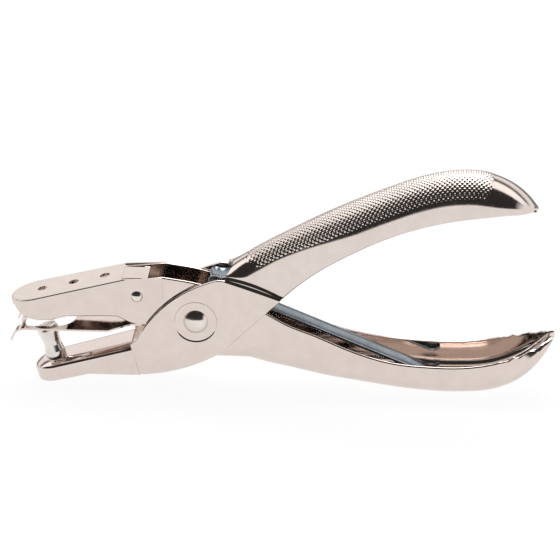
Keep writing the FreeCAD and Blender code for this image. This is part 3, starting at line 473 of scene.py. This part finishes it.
def upper_handle():
    """Knurled handle of the punch lever."""
    base = nose_columns(0.0, UPPER.total, UPPER_NOSE, 0.16, 150)
    arc = np.linspace(-LEG_SHARE, LEG_SHARE, 171)
    legs = np.linspace(LEG_SHARE, 1, 7)[1:]
    across = np.concatenate([-legs[::-1], arc, legs])
    outer = upper_surface(0.0, base, across, True)
    inner = upper_surface(SHEET, base, across, False)
    return curved_sheet("upper_handle", outer, inner, "punch_side", "knurled_plate")


# (x, z) of the die lever's upper edge, from the arms back along the lower handle
RIM = [(-9.3, 12.4), (0.3, 10.8), (7.5, 8.6), (13.0, 5.7), (20.0, 2.0), (25.3, -1.0), (34.0, -4.3),
       (43.0, -7.6), (53.0, -10.1), (64.0, -11.2), (78.0, -10.9), (87.0, -9.0), (94.5, -6.6),
       (99.0, -4.7), (104.0, -2.6)]
FLOOR_CORNER = 3.2
LOWEST_RIM = 0.3
PUCKER = 0.22
PUCKER_FROM = 84.0
PUCKER_TO = 99.5


def rim_z(x):
    """Height of the lower handle's rim; the sheet is puckered where it closes round the nose."""
    into = x - PUCKER_FROM
    waves = np.sin(into * 1.5) + 0.6 * np.sin(into * 2.6)
    return hermite(RIM, x) + PUCKER * waves * ease(into / 4.0) * ease((PUCKER_TO - x) / 2.0)


def lower_surface(inset, base, rows):
    """Grid of the lower handle: rows run from one rim down, across the floor and up again."""
    along = base - inset * ease((base - (LOWER.total - LOWER_NOSE)) / LOWER_NOSE)
    x0, z0, heading = LOWER.at(along)
    z0 = z0 + hermite(BELLY, x0)
    heading = heading * ease(np.asarray(base) / 12.0)
    up = np.array([-np.sin(heading), np.cos(heading)])
    half = np.maximum(lower_half_at(along) - inset, THIN)
    rim = farthest(lambda rise: z0 + up[1] * rise < rim_z(x0 + up[0] * rise), along)
    rim = np.maximum(rim, LOWEST_RIM + inset)
    corner = np.minimum(FLOOR_CORNER - inset, half * 0.9)
    corner = np.minimum(corner, np.maximum(rim - inset - 0.1, 0.1))
    grid = np.zeros((len(rows), len(base), 3))
    for i, (side, kind, share) in enumerate(rows):
        if kind == "wall":
            y = half
            rise = inset + corner + (rim - inset - corner) * share
        elif kind == "corner":
            turn = share * math.pi / 2
            y = half - corner + corner * math.sin(turn)
            rise = inset + corner - corner * math.cos(turn)
        else:
            y = (half - corner) * share
            rise = np.full_like(half, inset)
        grid[i, :, 0] = x0 + up[0] * rise
        grid[i, :, 1] = side * y
        grid[i, :, 2] = z0 + up[1] * rise
    return grid


def lower_rows():
    """Each row's side, kind and share, from the near rim to the far one."""
    side = [("wall", k / 8) for k in range(8, 0, -1)]
    side += [("corner", k / 8) for k in range(8, 0, -1)]
    side += [("floor", k / 4) for k in range(4, 0, -1)]
    left = [(-1, kind, share) for kind, share in side]
    right = [(1, kind, share) for kind, share in side[::-1]]
    return left + [(1, "floor", 0.0)] + right


def lower_handle():
    """Channel-shaped handle of the die lever."""
    base = nose_columns(0.0, LOWER.total, LOWER_NOSE, 0.5, 110)
    rows = lower_rows()
    outer = lower_surface(0.0, base, rows)
    inner = lower_surface(SHEET, base, rows)
    return curved_sheet("lower_handle", outer[::-1], inner[::-1], "die_side", "nickel_plate")


# ---------------------------------------------------------------- cheeks and crease

OUTER_HALF = 7.1
JAW_FOOT = (-15.92, -16.42)     # where the jaw's wall ends on the cheek's lower edge
JAW_CORNER_AT = (-18.4, -7.6)   # the jaw's top meets the cheek here
CHEEK_FRONT = (-16.6, -6.1)     # the cheek's round front edge runs from here to CHEEK_TOP
CHEEK_TOP = (6.0, 12.5)
CHEEK_FRONT_RADIUS = 36.2
CHEEK_REAR = (7.0, -9.1)        # its lower edge runs from here to the jaw's foot
CHEEK_BELLY_RADIUS = 47.6
RIVET_HOLE = 2.1
DISH_DEPTH = 0.30               # the round dish pressed into the cheek
DISH_MIDDLE = 4.5
DISH_FLAT = 5.75
DISH_EDGE = 6.2
CREASE_LEAD = 0.6       # the bend starts this far below the crease line
COLLAR_X = 8.1          # the crease's front end
COLLAR_Z = 12.4
COLLAR_TOP_X = 8.70
# (share of the crease's width, share of the way in): two rounded steps
CREASE_STEPS = [(0.0, 0.0), (0.06, 0.04), (0.44, 0.48), (0.56, 0.55), (0.94, 0.97), (1.0, 1.0)]


def arc_points(start, end, radius, side, pitch=0.5):
    """Points along an arc, start included; side +1 bulges to the left of the direction."""
    start, end = np.array(start, float), np.array(end, float)
    chord = end - start
    length = np.linalg.norm(chord)
    left = np.array([-chord[1], chord[0]]) / length
    hub = start + chord / 2 - left * side * math.sqrt(radius ** 2 - (length / 2) ** 2)
    first = math.atan2(*(start - hub)[::-1])
    turn = 2 * math.asin(length / 2 / radius) * -side
    count = max(2, int(abs(turn) * radius / pitch))
    angles = first + turn * np.arange(count) / count
    return [tuple(hub + radius * np.array([math.cos(a), math.sin(a)])) for a in angles]


def line_points(start, end, pitch=0.5):
    """Points along a straight line, start included."""
    start, end = np.array(start, float), np.array(end, float)
    count = max(1, int(np.linalg.norm(end - start) / pitch))
    return [tuple(start + (end - start) * k / count) for k in range(count)]


def rear_edge_x(lift):
    """Where a line parallel to the crease meets the rear edge."""
    slope = math.tan(math.radians(EDGE_HEADING - 1.0))
    x = EDGE_X
    for _ in range(20):
        x = EDGE_X + (crease_z(x, lift) - EDGE_Z) / slope
    return x


def cheek_outline():
    """The cheek's edge as seen from its side, from the jaw's foot round to it again."""
    rear_x = rear_edge_x(-CREASE_LEAD)
    crease_rear = (rear_x, crease_z(rear_x, -CREASE_LEAD))
    crease_front = (COLLAR_X, crease_z(COLLAR_X, -CREASE_LEAD))
    collar = (COLLAR_X, COLLAR_Z)
    points = line_points(JAW_FOOT, JAW_CORNER_AT)
    points += line_points(JAW_CORNER_AT, CHEEK_FRONT)
    points += arc_points(CHEEK_FRONT, CHEEK_TOP, CHEEK_FRONT_RADIUS, 1)
    points += line_points(CHEEK_TOP, collar)
    points += line_points(collar, crease_front)
    points += line_points(crease_front, crease_rear)
    points += line_points(crease_rear, CHEEK_REAR)
    points += arc_points(CHEEK_REAR, JAW_FOOT, CHEEK_BELLY_RADIUS, 1)
    return np.array(points)


def cheek(hand):
    """Flat cheek with the round dish pressed into it; rings run outwards from the rivet."""
    rim = cheek_outline()
    distance = np.linalg.norm(rim, axis=1)
    ray = rim / distance[:, None]
    dish = [(RIVET_HOLE, 1.0), (DISH_MIDDLE, 1.0), (DISH_FLAT, 1.0)]
    dish += [(DISH_FLAT + (DISH_EDGE - DISH_FLAT) * k / 6, 1 - ease(k / 6)) for k in range(1, 7)]
    rings = [(np.full(len(rim), r), sink) for r, sink in dish]
    rings += [(DISH_EDGE + 0.3 + (distance - DISH_EDGE - 0.6) * k / 3, 0.0) for k in range(4)]
    rings += [(distance - 0.12, 0.0), (distance, 0.0)]

    def face(level):
        grid = np.zeros((len(rings), len(rim) + 1, 3))
        for i, (reach, sink) in enumerate(rings):
            spots = ray * np.asarray(reach)[:, None]
            spots = np.vstack([spots, spots[:1]])
            grid[i, :, 0] = spots[:, 0]
            grid[i, :, 1] = hand * (level - DISH_DEPTH * sink)
            grid[i, :, 2] = spots[:, 1]
        return grid

    outer = face(OUTER_HALF)
    inner = face(OUTER_HALF - SHEET)
    if hand > 0:
        outer, inner = outer[:, ::-1], inner[:, ::-1]
    name = "far_cheek" if hand > 0 else "near_cheek"
    return curved_sheet(name, outer, inner, "punch_side", "nickel_plate", (False, False))


def crease_band(hand):
    """The bend that draws the cheek in to the narrower handle."""
    lifts = np.concatenate([[-CREASE_LEAD, -0.2], np.linspace(0, CREASE_WIDTH, 26)])
    count = 50

    def face(inset):
        grid = np.zeros((len(lifts), count, 3))
        for i, lift in enumerate(lifts):
            rise = max(0.0, lift / CREASE_WIDTH)
            first = COLLAR_X + (COLLAR_TOP_X - COLLAR_X) * rise
            x = np.linspace(first, rear_edge_x(lift), count)
            pulled = np.interp(rise, *zip(*CREASE_STEPS))
            grid[i, :, 0] = x
            grid[i, :, 1] = hand * (OUTER_HALF - (OUTER_HALF - NECK_HALF) * pulled - inset)
            grid[i, :, 2] = crease_z(x, lift + crease_bulge(x) * rise)
        return grid

    outer, inner = face(0.0), face(SHEET)
    if hand > 0:
        outer, inner = outer[:, ::-1], inner[:, ::-1]
    name = "far_crease" if hand > 0 else "near_crease"
    return curved_sheet(name, outer, inner, "punch_side", "nickel_plate")


# ---------------------------------------------------------------- round-nosed channels

def jaw_path(nose_x, tail_x, nose_half, tail_half, plain_x, straight=40, turn=48):
    """Plan path of a round-nosed channel from +Y round the nose to -Y.

    Gives its points, their inward normals and the spine. The sides are parallel behind plain_x."""
    hub = nose_x + nose_half
    side_x = np.concatenate([np.linspace(tail_x, plain_x, 8)[:-1],
                             np.linspace(plain_x, hub, straight)])
    share = np.clip((plain_x - side_x) / (plain_x - hub), 0, 1)
    side_y = tail_half + (nose_half - tail_half) * share
    angles = np.linspace(0, math.pi, turn)[1:-1]
    x = np.concatenate([side_x, hub - nose_half * np.sin(angles), side_x[::-1]])
    y = np.concatenate([side_y, nose_half * np.cos(angles), -side_y[::-1]])
    normal_x = np.concatenate([np.zeros(len(side_x)), np.sin(angles), np.zeros(len(side_x))])
    normal_y = np.concatenate([-np.ones(len(side_x)), -np.cos(angles), np.ones(len(side_x))])
    return x, y, normal_x, normal_y, np.maximum(x, hub)


SHOULDER = [(90, 30, 0.9), (30, 13, 1.5), (13, 0, 0.45)]    # tilts in degrees, share of the length
SHOULDER_STEPS = 8


def shoulder(drop):
    """Corner that turns fast off the wall, then eases over.

    Gives the distance in, the height and the tilt at each step."""
    spots = [(0.0, 0.0, math.radians(90))]
    for before, after, length in SHOULDER:
        for k in range(SHOULDER_STEPS):
            tilt = math.radians(before + (after - before) * (k + 0.5) / SHOULDER_STEPS)
            end = math.radians(before + (after - before) * (k + 1) / SHOULDER_STEPS)
            spots.append((spots[-1][0] + math.cos(tilt) * length / SHOULDER_STEPS,
                          spots[-1][1] + math.sin(tilt) * length / SHOULDER_STEPS, end))
    scale = drop / spots[-1][1]
    return [(u * scale, (v - spots[-1][1]) * scale, tilt) for u, v, tilt in spots[1:]]


def hood_grid(path, inset, radius, bottom):
    """Rows from the bottom edge up the wall, round the corner and over the top to the middle line.

    bottom(x) is the lower edge's height, negative because the top's plane is 0."""
    x, y, nx, ny, spine = path
    rows = []
    base = bottom(x)
    for k in range(9):
        height = base + (-radius - base) * k / 8
        rows.append((np.full_like(x, inset), height))
    for inward, height, tilt in shoulder(radius):
        rows.append((np.full_like(x, inward + inset * math.sin(tilt)),
                     np.full_like(x, height - inset * math.cos(tilt))))
    grid = []
    for offset, height in rows:
        grid.append(np.stack([x + nx * offset, y + ny * offset, height], axis=1))
    edge = grid[-1]
    for share in (0.04, 0.2, 0.4, 0.6, 0.8, 1.0):
        row = edge.copy()
        row[:, 0] = edge[:, 0] + (spine - edge[:, 0]) * share
        row[:, 1] = edge[:, 1] * (1 - share)
        grid.append(row)
    return np.array(grid)


def weld(obj):
    """Joins the two halves along the middle line."""
    mesh = bmesh.new()
    mesh.from_mesh(obj.data)
    bmesh.ops.remove_doubles(mesh, verts=mesh.verts, dist=WELD * MM)
    mesh.to_mesh(obj.data)
    mesh.free()


JAW_ROOT = np.array(JAW_CORNER_AT)
JAW_SLOPE = math.radians(16.1)
JAW_LENGTH = 29.6
JAW_HALF = 6.4
JAW_CORNER = 1.9
JAW_FOOT_LINE = [(-52.0, -22.3), (-30.4, -16.75), (-12.0, -16.43)]     # (x, z) of its lower edge


def jaw_to_world(grid):
    """Grid of points from the jaw's own frame, whose x runs up its slope."""
    cos, sin = math.cos(JAW_SLOPE), math.sin(JAW_SLOPE)
    world = grid.copy()
    world[..., 0] = JAW_ROOT[0] + grid[..., 0] * cos - grid[..., 2] * sin
    world[..., 2] = JAW_ROOT[1] + grid[..., 0] * sin + grid[..., 2] * cos
    return world


def jaw_bottom(x):
    """Lower edge of the jaw's walls in the jaw's own frame."""
    height = np.full_like(x, -5.0)
    for _ in range(12):
        world_x = JAW_ROOT[0] + x * math.cos(JAW_SLOPE) - height * math.sin(JAW_SLOPE)
        edge = np.interp(world_x, *zip(*JAW_FOOT_LINE))
        height = (edge - JAW_ROOT[1] - x * math.sin(JAW_SLOPE)) / math.cos(JAW_SLOPE)
    return height


def lower_jaw():
    """Round-nosed hood that carries the punch."""
    path = jaw_path(-JAW_LENGTH, 0.0, JAW_HALF, OUTER_HALF, -3.0)
    outer = jaw_to_world(hood_grid(path, 0.0, JAW_CORNER, jaw_bottom))
    inner = jaw_to_world(hood_grid(path, SHEET, JAW_CORNER, jaw_bottom))
    obj = curved_sheet("lower_jaw", outer[:, ::-1], inner[:, ::-1],
                       "punch_side", "nickel_plate")
    weld(obj)
    return obj


# ---------------------------------------------------------------- jaw arms and cover

COVER_SLOPE = math.tan(math.radians(14.0))
COVER_X, COVER_Z = -43.0, 6.45  # a point on its top
COVER_SHEET = 0.6
COVER_NOSE = -52.6
COVER_TAIL = -21.4      # behind it the arms' upper edge is free
SEAT = 0.02
ARM_NOSE = COVER_NOSE + COVER_SHEET + SEAT
ARM_NOSE_HALF = 6.3
ARM_PLAIN = -12.0
ARM_TAIL = 7.0
# (x, z) of the arms' lower edge, and of their upper edge just behind the cover
ARM_FOOT = [(-53.5, 2.9), (-48.9, 0.1), (-44.8, -0.8), (-40.2, -0.5), (-37.1, 0.6), (-24.4, 0.95),
            (-22.0, 0.8), (-19.3, -0.6), (-17.1, -1.4), (-13.0, -1.4), (-6.0, -10.5), (7.0, -10.5)]
ARM_STEP = [(-20.4, 11.1), (-9.3, 12.4)]


def cover_z(x):
    """Height of the cover's top."""
    return COVER_Z + COVER_SLOPE * (x - COVER_X)


def arms():
    """Both jaw arms and the bow that joins them, one strip set on edge."""
    x, y, nx, ny, _ = jaw_path(ARM_NOSE, ARM_TAIL, ARM_NOSE_HALF, INNER_HALF, ARM_PLAIN, 90, 60)
    low = np.interp(x, *zip(*ARM_FOOT))
    under = cover_z(np.minimum(x, COVER_TAIL)) - COVER_SHEET - SEAT
    step = np.interp(x, *zip((COVER_TAIL, under.max()), *ARM_STEP))
    high = np.where(x < RIM[0][0], step, hermite(RIM, x))
    high = np.where(x < COVER_TAIL, under, high)

    def face(inset):
        rows = [low + (high - low) * k / 8 for k in range(9)]
        return np.array([np.stack([x + nx * inset, y + ny * inset, row], axis=1) for row in rows])

    return curved_sheet("jaw_arms", face(0.0)[:, ::-1], face(SHEET)[:, ::-1],
                        "die_side", "nickel_plate")


# ---------------------------------------------------------------- return spring

SPRING_HALF = 3.2
SPRING_SHEET = 0.7
SPRING_CROWN = 0.35
SPRING_SLOPE = math.radians(-22.6)      # of the long leg
SPRING_LEG = 65.6
SPRING_BEND = (4.6, 9.8)                # x and z where the leg meets the hairpin's bend
SPRING_BEND_RADIUS = 1.2
SPRING_TOE = 0.15                       # the toe turns up by this many radians
SPRING_TOE_LENGTH = 3.2
SHORT_LEG = 11.0                        # the part that lies under the upper handle
SHORT_LEG_END = 17.0                    # its end, along the handle's back
SHORT_LEG_DROP = SHEET + 2.1            # its middle, below the handle's back


def bezier(poles, count):
    """Points on a cubic curve."""
    t = np.linspace(0, 1, count)[:, None]
    a, b, c, d = (np.array(pole, float) for pole in poles)
    return (1 - t) ** 3 * a + 3 * (1 - t) ** 2 * t * b + 3 * (1 - t) * t ** 2 * c + t ** 3 * d


def spring_path():
    """Side view of the hairpin, from its toe on the lower handle's floor to its short leg's end."""
    along = np.array([math.cos(SPRING_SLOPE), math.sin(SPRING_SLOPE)])
    lift = np.array([-along[1], along[0]]) * SPRING_BEND_RADIUS
    bend_at = np.array(SPRING_BEND)
    tail = bend_at + along * SPRING_LEG
    foot = np.array([math.cos(SPRING_TOE), math.sin(SPRING_TOE)])
    heel = tail + foot * SPRING_TOE_LENGTH
    x0, z0, heading = UPPER.at(SHORT_LEG_END)
    back = np.array([math.cos(heading), math.sin(heading)])
    leg_end = np.array([x0, z0]) - np.array([-back[1], back[0]]) * SHORT_LEG_DROP
    leg_start = leg_end - back * SHORT_LEG
    toe = bezier([heel, heel - foot * 1.2, tail + along * 1.8, tail], 12)
    leg = tail + (bend_at - tail) * np.linspace(0, 1, 60)[1:, None]
    turns = np.linspace(0, math.pi, 16)[1:, None]
    loop = bend_at + lift - lift * np.cos(turns) - along * SPRING_BEND_RADIUS * np.sin(turns)
    top = bend_at + lift * 2
    bow = bezier([top, top + along * 4.5, leg_start - back * 2.8, leg_start], 30)[1:]
    short = leg_start + (leg_end - leg_start) * np.linspace(0, 1, 8)[1:, None]
    return np.concatenate([toe, leg, loop, bow, short])


def return_spring():
    """The leaf, bent into a hairpin that lies between the two levers."""
    path = spring_path()
    run = unit(np.gradient(path, axis=0))
    square = np.stack([run[:, 1], -run[:, 0]], axis=1)
    across = np.linspace(-1, 1, 13)

    def face(level):
        grid = np.zeros((len(across), len(path), 3))
        for i, share in enumerate(across):
            height = level - SPRING_CROWN * share ** 2
            grid[i, :, 0] = path[:, 0] + square[:, 0] * height
            grid[i, :, 1] = share * SPRING_HALF
            grid[i, :, 2] = path[:, 1] + square[:, 1] * height
        return grid

    obj = curved_sheet("spring_leaf", face(SPRING_SHEET / 2), face(-SPRING_SHEET / 2),
                       None, "spring_steel")
    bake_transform(obj)
    return obj


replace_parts(upper_handle(), "punch_lever")
for hand in (-1, 1):
    cheek(hand)
for hand in (-1, 1):
    crease_band(hand)
lower_jaw()
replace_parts(lower_handle(), "die_lever")
arms()
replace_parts(return_spring(), "return_spring")

# ---------------------------------------------------------------- carried-over CAD nodes

slot_of = {part["node"]: part["material_slot"] for part in frame["record"]["subparts"]}
for name, obj in frame["nodes"].items():
    if not obj.material_slots:
        obj.data.materials.append(None)
    for material_slot in obj.material_slots:
        material_slot.material = FINISH[slot_of[name]]

# ---------------------------------------------------------------- stage

# Lengths here are in metres.
FLOOR_Z = bounds_before[0][2]
FLOOR_REACH = 6.0
FLOOR_BACK = 0.42       # the floor ends just beyond the picture, where the tent begins
FLOOR_GREY = 0.12
FLOOR_GLOW = 0.93       # the paper is lit evenly, so it glows and takes only a faint shadow


def studio():
    """Pale paper floor."""
    floor_mesh = bpy.data.meshes.new("floor")
    corners = [(-FLOOR_REACH, -FLOOR_REACH), (FLOOR_REACH, -FLOOR_REACH),
               (FLOOR_REACH, FLOOR_BACK), (-FLOOR_REACH, FLOOR_BACK)]
    floor_mesh.from_pydata([(x, y, FLOOR_Z) for x, y in corners], [], [(0, 1, 2, 3)])
    floor = bpy.data.objects.new("floor", floor_mesh)
    bpy.context.scene.collection.objects.link(floor)
    material, _, shader = node_material("floor_paper")
    shader.inputs["Base Color"].default_value = (FLOOR_GREY, FLOOR_GREY, FLOOR_GREY, 1)
    shader.inputs["Roughness"].default_value = 1.0
    shader.inputs["Specular IOR Level"].default_value = 0.0
    shader.inputs["Emission Color"].default_value = (1, 1, 1, 1)
    shader.inputs["Emission Strength"].default_value = FLOOR_GLOW
    floor_mesh.materials.append(material)


# (degrees, brightness) round the X axis: 0 is level on the side of -Y, 90 is overhead.
TENT = [(0.0, 1.0), (6.0, 1.0), (11.0, 0.03), (90.0, 0.03), (97.0, 1.3), (127.0, 1.3),
        (133.0, 0.12), (141.0, 0.16), (149.0, 0.95), (166.0, 1.0), (172.0, 0.22),
        (192.0, 0.22), (200.0, 1.0), (360.0, 1.0)]
TENT_TINT = (1.0, 0.985, 0.975)
TENT_STRENGTH = 1.08
RIGHT_WALL = (0.80, 0.96)       # towards +X the tent fades to white between these shares


def maths(tree, operation, first, second):
    """Math node's output; second is a socket or a number."""
    node = tree.nodes.new("ShaderNodeMath")
    node.operation = operation
    tree.links.new(first, node.inputs[0])
    if isinstance(second, float):
        node.inputs[1].default_value = second
    elif second is not None:
        tree.links.new(second, node.inputs[1])
    return node.outputs[0]


def soft_world():
    """White tent with a wide dark gap overhead towards -Y and two narrow ones opposite."""
    world = bpy.data.worlds.new("tent")
    bpy.context.scene.world = world
    world.use_nodes = True
    tree = world.node_tree
    place = tree.nodes.new("ShaderNodeTexCoord")
    split = tree.nodes.new("ShaderNodeSeparateXYZ")
    tree.links.new(place.outputs["Generated"], split.inputs[0])
    front = maths(tree, "MULTIPLY", split.outputs["Y"], -1.0)
    turns = maths(tree, "DIVIDE", maths(tree, "ARCTAN2", split.outputs["Z"], front), 2 * math.pi)
    share = maths(tree, "FRACT", turns, None)
    ramp_node = tree.nodes.new("ShaderNodeValToRGB")
    elements = ramp_node.color_ramp.elements
    while len(elements) < len(TENT):
        elements.new(0.5)
    for element, (degrees, level) in zip(elements, TENT):
        element.position = degrees / 360.0
        element.color = (*(level * tint for tint in TENT_TINT), 1)
    tree.links.new(share, ramp_node.inputs["Fac"])
    right = tree.nodes.new("ShaderNodeMapRange")
    right.inputs["From Min"].default_value, right.inputs["From Max"].default_value = RIGHT_WALL
    tree.links.new(split.outputs["X"], right.inputs["Value"])
    wall = tree.nodes.new("ShaderNodeMix")
    wall.data_type = "RGBA"
    near, far, result = wall.inputs[6], wall.inputs[7], wall.outputs[2]     # the colour sockets
    far.default_value = (*TENT_TINT, 1)
    tree.links.new(right.outputs["Result"], wall.inputs[0])
    tree.links.new(ramp_node.outputs["Color"], near)
    background = tree.nodes["Background"]
    tree.links.new(result, background.inputs["Color"])
    background.inputs["Strength"].default_value = TENT_STRENGTH


LOOK_AT = Vector((23.40, -1.77, 11.24)) * MM
AZIMUTH = math.radians(3.56)
ELEVATION = math.radians(23.0)
DISTANCE = 0.9498
FOCAL_PIXELS = 3392
IMAGE_PIXELS = 560


def camera():
    """Camera at the photograph's viewing angle."""
    back = Vector((math.sin(AZIMUTH) * math.cos(ELEVATION),
                   -math.cos(AZIMUTH) * math.cos(ELEVATION),
                   math.sin(ELEVATION)))
    data = bpy.data.cameras.new("camera")
    data.sensor_width = 36.0
    data.lens = data.sensor_width * FOCAL_PIXELS / IMAGE_PIXELS
    data.clip_start = 0.01
    data.clip_end = 20.0
    obj = bpy.data.objects.new("camera", data)
    obj.location = LOOK_AT + back * DISTANCE
    obj.rotation_euler = (-back).to_track_quat("-Z", "Y").to_euler()
    bpy.context.scene.collection.objects.link(obj)
    bpy.context.scene.camera = obj


LIGHT_SIZE = 0.6
LIGHT_WATTS = 4.5
LIGHT_AT = Vector((0.05, 0.75, 1.0))
LIGHT_AIM = Vector((0.02, 0, 0))


def key_light():
    """Round softbox above and behind."""
    data = bpy.data.lights.new("top_softbox", "AREA")
    data.shape = "DISK"
    data.size = LIGHT_SIZE
    data.energy = LIGHT_WATTS
    obj = bpy.data.objects.new("top_softbox", data)
    obj.location = LIGHT_AT
    obj.rotation_euler = (LIGHT_AIM - LIGHT_AT).to_track_quat("-Z", "Y").to_euler()
    bpy.context.scene.collection.objects.link(obj)


studio()
soft_world()
camera()
key_light()
bpy.context.scene.view_settings.view_transform = "Standard"
